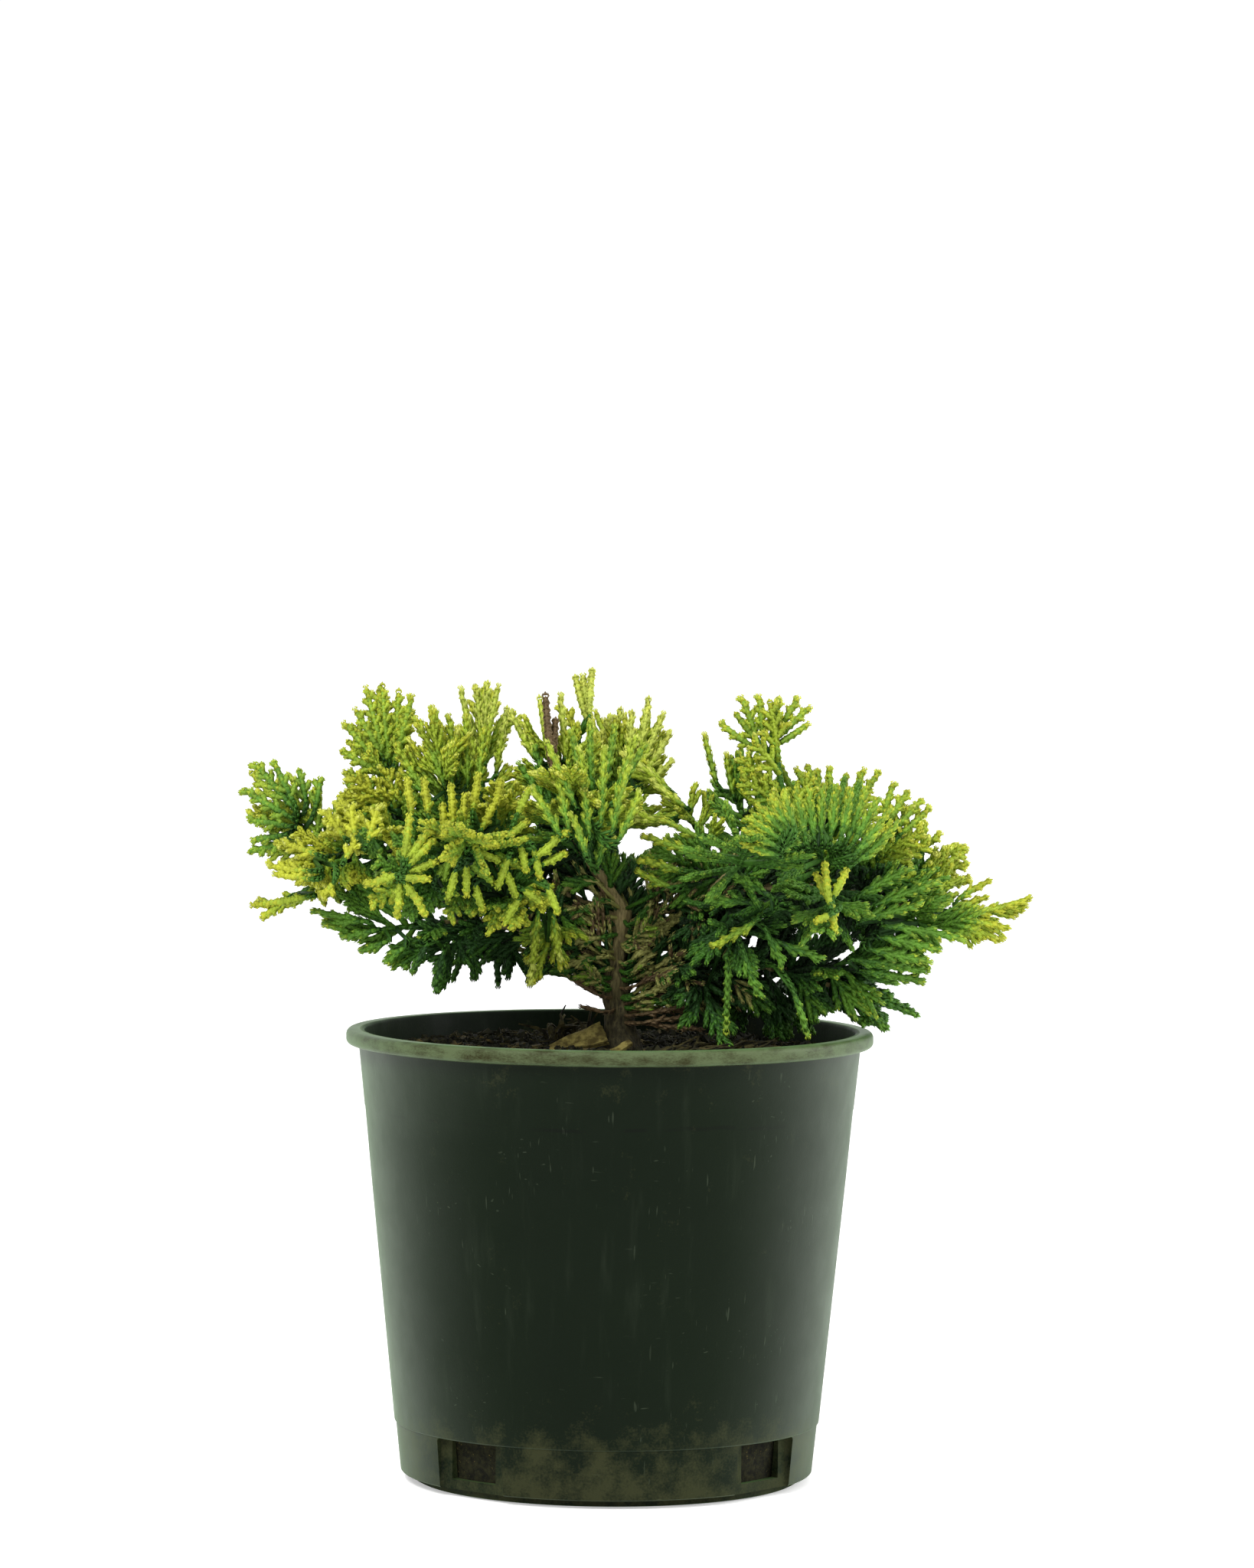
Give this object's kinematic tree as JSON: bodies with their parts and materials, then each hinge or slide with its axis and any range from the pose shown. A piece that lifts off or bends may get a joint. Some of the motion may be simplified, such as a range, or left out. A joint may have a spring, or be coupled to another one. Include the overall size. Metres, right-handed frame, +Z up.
{
  "type": "potted spreading conifer",
  "caption": "Dwarf spreading conifer with a short trunk, forked boughs and fans of scale-leaved sprays, in a round tapered nursery pot with foot-band drainage windows.",
  "frame": {"origin": "centre of the pot's flat underside, where it stands", "axes": "+Z up the pot's axis, -Y the side seen in the picture, +X to its right"},
  "size_m": [0.2872, 0.19, 0.2904],
  "materials": {
    "pot": "satin, scuffed and dusty",
    "potting_mix": "moist, crumbly",
    "bark_chip": "rough",
    "bark": "rough, fibrous",
    "foliage_gold": "waxy scale leaves",
    "foliage_green": "waxy scale leaves",
    "foliage_deep": "waxy scale leaves"
  },
  "bodies": {
    "root": {"pot": "pot", "potting_mix": "potting_mix", "bark_chip": "bark_chip", "trunk": "bark", "bough_leader": "bark", "bough_centre": "bark", "bough_back": "bark", "bough_left": "bark", "bough_left_low": "bark", "bough_left_back": "bark", "bough_left_front": "bark", "bough_right": "bark", "bough_right_low": "bark", "bough_right_back": "bark", "bough_right_front": "bark", "left_fan": "foliage_gold", "left_low_sprig": "foliage_gold", "left_tier_low": "foliage_gold", "left_tier_mid": "foliage_gold", "left_tier_high": "foliage_gold", "left_crest": "foliage_gold", "left_slope": "foliage_gold", "left_brush": "foliage_gold", "left_mid": "foliage_gold", "left_star": "foliage_gold", "left_front_low": "foliage_gold", "left_front_fan": "foliage_gold", "left_under": "foliage_green", "left_drop": "foliage_deep", "left_drop_inner": "foliage_deep", "left_tassel": "foliage_gold", "trunk_left": "foliage_deep", "crown_left": "foliage_gold", "crown_spire": "foliage_gold", "crown_mid": "foliage_gold", "crown_right": "foliage_gold", "crown_front": "foliage_gold", "crown_back": "foliage_gold", "bridge_high": "foliage_gold", "bridge_low": "foliage_green", "right_spears": "foliage_green", "right_plume": "foliage_green", "right_dome": "foliage_green", "right_crest": "foliage_gold", "right_shoulder": "foliage_gold", "right_flank": "foliage_gold", "right_reach": "foliage_gold", "right_skirt": "foliage_green", "right_fringe": "foliage_green", "right_trail": "foliage_deep", "right_sprig": "foliage_gold", "right_inner": "foliage_deep", "right_drop": "foliage_green", "right_under": "foliage_deep", "trunk_right": "foliage_deep", "left_back_crest": "foliage_gold", "left_back_shelf": "foliage_green", "right_back_crest": "foliage_green", "right_back_shelf": "foliage_green", "right_front_fan": "foliage_green"}
  },
  "joints": []
}
